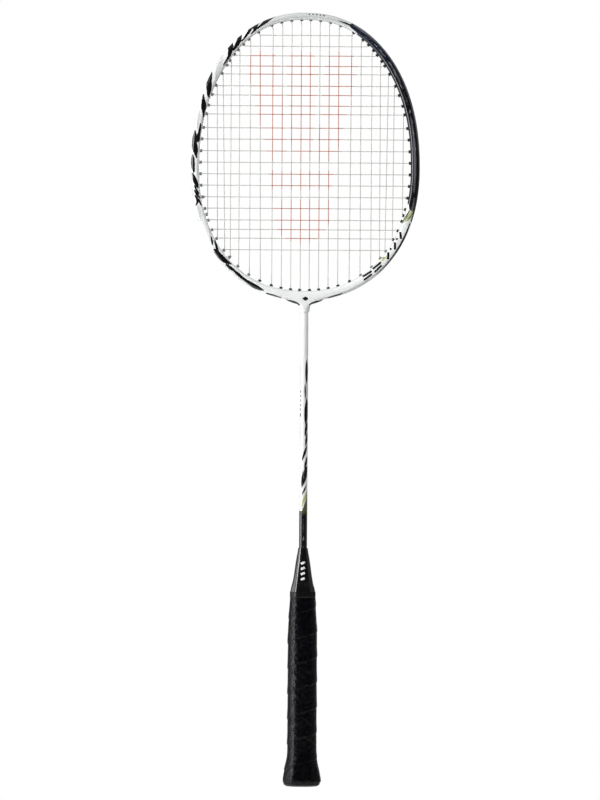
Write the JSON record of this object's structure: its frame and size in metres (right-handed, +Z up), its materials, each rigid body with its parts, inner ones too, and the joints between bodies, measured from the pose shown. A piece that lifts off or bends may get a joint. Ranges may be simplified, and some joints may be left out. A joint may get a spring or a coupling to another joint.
{
  "type": "badminton racket",
  "caption": "Oval strung head on a thin straight shaft, with an octagonal wrapped handle that flares at the butt; for striking a shuttlecock.",
  "frame": {"origin": "middle of the butt cap's flat bottom face", "axes": "+Z up the handle and shaft to the head, X across the head in the string plane, -Y the front of the string bed"},
  "size_m": [0.2004, 0.0334, 0.675],
  "materials": {
    "frame_lacquer": "gloss",
    "shaft_lacquer": "gloss",
    "cone_plastic": "gloss",
    "grip_polyurethane": "satin",
    "tape_vinyl": "satin",
    "grommet_nylon": "satin",
    "string_nylon": "satin",
    "handle_wood": "matte",
    "joint_plastic": "matte",
    "staple_steel": "satin",
    "cap_plastic": "satin"
  },
  "bodies": {
    "root": {"butt_cap": "cap_plastic", "cone_cap": "cone_plastic", "cross_string": "string_nylon", "finishing_tape": "tape_vinyl", "grip_staple": "staple_steel", "grip_wrap": "grip_polyurethane", "grommet_strip_left_1": "grommet_nylon", "grommet_strip_left_2": "grommet_nylon", "grommet_strip_left_3": "grommet_nylon", "grommet_strip_left_4": "grommet_nylon", "grommet_strip_left_5": "grommet_nylon", "grommet_strip_left_6": "grommet_nylon", "grommet_strip_left_7": "grommet_nylon", "grommet_strip_left_8": "grommet_nylon", "grommet_strip_right_1": "grommet_nylon", "grommet_strip_right_2": "grommet_nylon", "grommet_strip_right_3": "grommet_nylon", "grommet_strip_right_4": "grommet_nylon", "grommet_strip_right_5": "grommet_nylon", "grommet_strip_right_6": "grommet_nylon", "grommet_strip_right_7": "grommet_nylon", "grommet_strip_right_8": "grommet_nylon", "grommet_throat_left_1": "grommet_nylon", "grommet_throat_left_2": "grommet_nylon", "grommet_throat_left_3": "grommet_nylon", "grommet_throat_left_4": "grommet_nylon", "grommet_throat_left_5": "grommet_nylon", "grommet_throat_right_1": "grommet_nylon", "grommet_throat_right_2": "grommet_nylon", "grommet_throat_right_3": "grommet_nylon", "grommet_throat_right_4": "grommet_nylon", "grommet_throat_right_5": "grommet_nylon", "handle_core": "handle_wood", "head_frame": "frame_lacquer", "main_string": "string_nylon", "shaft": "shaft_lacquer", "t_joint": "joint_plastic"}
  },
  "joints": []
}
